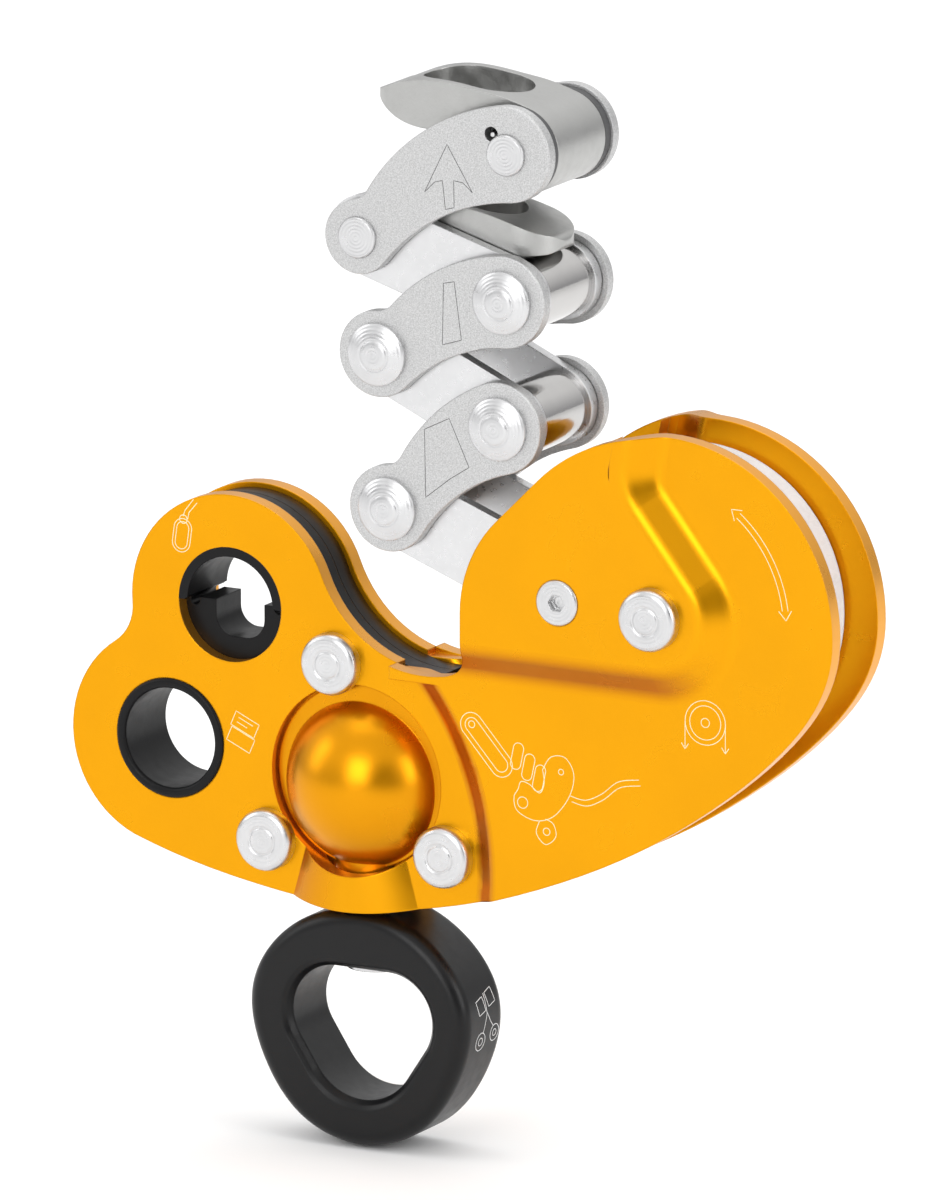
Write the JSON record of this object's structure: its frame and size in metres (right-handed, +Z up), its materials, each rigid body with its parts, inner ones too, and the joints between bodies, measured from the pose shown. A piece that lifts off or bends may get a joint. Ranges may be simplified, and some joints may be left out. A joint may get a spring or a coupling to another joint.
{
  "type": "rope pulley",
  "caption": "Chain-type rope hitch with two stepped plates, a bearing sheave, connector holes, a swivel eye and a folding friction chain with a release lever.",
  "frame": {"origin": "centre of the lower connector hole, on the mid-plane between the side plates", "axes": "+X towards the sheave, +Y towards the rear plate, +Z up along the chain"},
  "size_m": [0.1508, 0.032, 0.1912],
  "materials": {
    "anodised_orange": "satin",
    "black_plastic": "matte",
    "black_anodised": "satin",
    "rivet_steel": "brushed",
    "blasted_steel": "matte",
    "satin_steel": "satin",
    "polished_steel": "gloss",
    "cast_steel": "satin",
    "white_polymer": "satin",
    "bronze": "satin",
    "seal_rubber": "matte",
    "cage_plastic": "matte"
  },
  "bodies": {
    "frame": {"front_side_plate": "anodised_orange", "rear_side_plate": "anodised_orange", "front_spacer": "black_plastic", "rear_spacer": "black_plastic", "connector_bush": "black_plastic", "slot_insert": "black_plastic", "frame_rivets": "rivet_steel", "sheave_axle": "rivet_steel", "front_axle_spacer": "satin_steel", "rear_axle_spacer": "satin_steel", "bearing_inner_ring": "polished_steel", "front_anchor_screw": "rivet_steel", "rear_anchor_screw": "rivet_steel", "front_swivel_housing": "anodised_orange", "rear_swivel_housing": "anodised_orange", "swivel_bush": "bronze", "lower_thrust_race": "polished_steel", "neck_seal": "seal_rubber"},
    "sheave": {"sheave": "white_polymer", "bearing_outer_ring": "polished_steel", "front_bearing_shield": "seal_rubber", "rear_bearing_shield": "seal_rubber"},
    "sheave_balls": {"bearing_balls": "polished_steel", "bearing_cage": "cage_plastic"},
    "swivel": {"swivel_stem": "rivet_steel", "upper_thrust_race": "polished_steel", "stem_nut": "rivet_steel", "swivel_eye": "black_anodised"},
    "swivel_balls": {"thrust_balls": "polished_steel", "thrust_cage": "cage_plastic"},
    "lower_inner_link": {"front_lower_inner_plate": "satin_steel", "rear_lower_inner_plate": "satin_steel", "lower_left_bush": "polished_steel"},
    "lower_outer_link": {"front_lower_outer_plate": "blasted_steel", "rear_lower_outer_plate": "blasted_steel", "lower_left_rivet": "rivet_steel", "lower_right_rivet": "rivet_steel"},
    "middle_inner_link": {"front_middle_inner_plate": "satin_steel", "rear_middle_inner_plate": "satin_steel", "lower_right_bush": "polished_steel", "middle_left_bush": "polished_steel"},
    "middle_outer_link": {"front_middle_outer_plate": "blasted_steel", "rear_middle_outer_plate": "blasted_steel", "middle_left_rivet": "rivet_steel", "middle_right_rivet": "rivet_steel"},
    "upper_inner_link": {"front_upper_inner_plate": "satin_steel", "rear_upper_inner_plate": "satin_steel", "middle_right_bush": "polished_steel", "tongue_sleeve": "satin_steel"},
    "upper_outer_link": {"front_upper_outer_plate": "blasted_steel", "rear_upper_outer_plate": "blasted_steel", "tongue_pin": "rivet_steel", "lever_pin": "rivet_steel", "lever_spring": "satin_steel", "front_lever_washer": "black_plastic", "rear_lever_washer": "black_plastic"},
    "tongue": {"cam_tongue": "cast_steel"},
    "lever": {"release_lever": "cast_steel"}
  },
  "joints": [
    {"name": "sheave_spin", "type": "hinge", "parent": "frame", "child": "sheave", "pos_m": [0.0983, 0, 0.0339], "axis": [0, 1, 0], "continuous": true},
    {"name": "sheave_ball_spin", "type": "hinge", "parent": "frame", "child": "sheave_balls", "pos_m": [0.0983, 0, 0.0339], "axis": [0, 1, 0], "continuous": true},
    {"name": "swivel_spin", "type": "hinge", "parent": "frame", "child": "swivel", "pos_m": [0.037, 0, -0.0063], "axis": [0, 0, 1], "continuous": true},
    {"name": "swivel_ball_spin", "type": "hinge", "parent": "frame", "child": "swivel_balls", "pos_m": [0.037, 0, -0.0063], "axis": [0, 0, 1], "continuous": true},
    {"name": "chain_anchor", "type": "hinge", "parent": "frame", "child": "lower_inner_link", "pos_m": [0.08, 0, 0.0346], "axis": [0, 1, 0], "range_deg": [-20, 5]},
    {"name": "lower_left_fold", "type": "hinge", "parent": "lower_inner_link", "child": "lower_outer_link", "pos_m": [0.0465, 0, 0.0473], "axis": [0, -1, 0], "range_deg": [-3, 30]},
    {"name": "lower_right_fold", "type": "hinge", "parent": "lower_outer_link", "child": "middle_inner_link", "pos_m": [0.0681, 0, 0.0637], "axis": [0, 1, 0], "range_deg": [-3, 30]},
    {"name": "middle_left_fold", "type": "hinge", "parent": "middle_inner_link", "child": "middle_outer_link", "pos_m": [0.0445, 0, 0.0743], "axis": [0, -1, 0], "range_deg": [-3, 30]},
    {"name": "middle_right_fold", "type": "hinge", "parent": "middle_outer_link", "child": "upper_inner_link", "pos_m": [0.0689, 0, 0.0859], "axis": [0, 1, 0], "range_deg": [-3, 30]},
    {"name": "upper_left_fold", "type": "hinge", "parent": "upper_inner_link", "child": "upper_outer_link", "pos_m": [0.0406, 0, 0.0944], "axis": [0, -1, 0], "range_deg": [-3, 30]},
    {"name": "tongue_tilt", "type": "hinge", "parent": "upper_inner_link", "child": "tongue", "pos_m": [0.0406, 0, 0.0944], "axis": [0, -1, 0], "range_deg": [0, 6]},
    {"name": "lever_release", "type": "hinge", "parent": "upper_outer_link", "child": "lever", "pos_m": [0.0696, 0, 0.1117], "axis": [0, -1, 0], "range_deg": [0, 20], "stiffness_Nm_per_rad": 0.04, "springref_deg": -14.32}
  ],
  "couplings": [
    {"joint": "sheave_ball_spin", "follows": "sheave_spin", "ratio": 0.55},
    {"joint": "swivel_ball_spin", "follows": "swivel_spin", "ratio": 0.5}
  ]
}
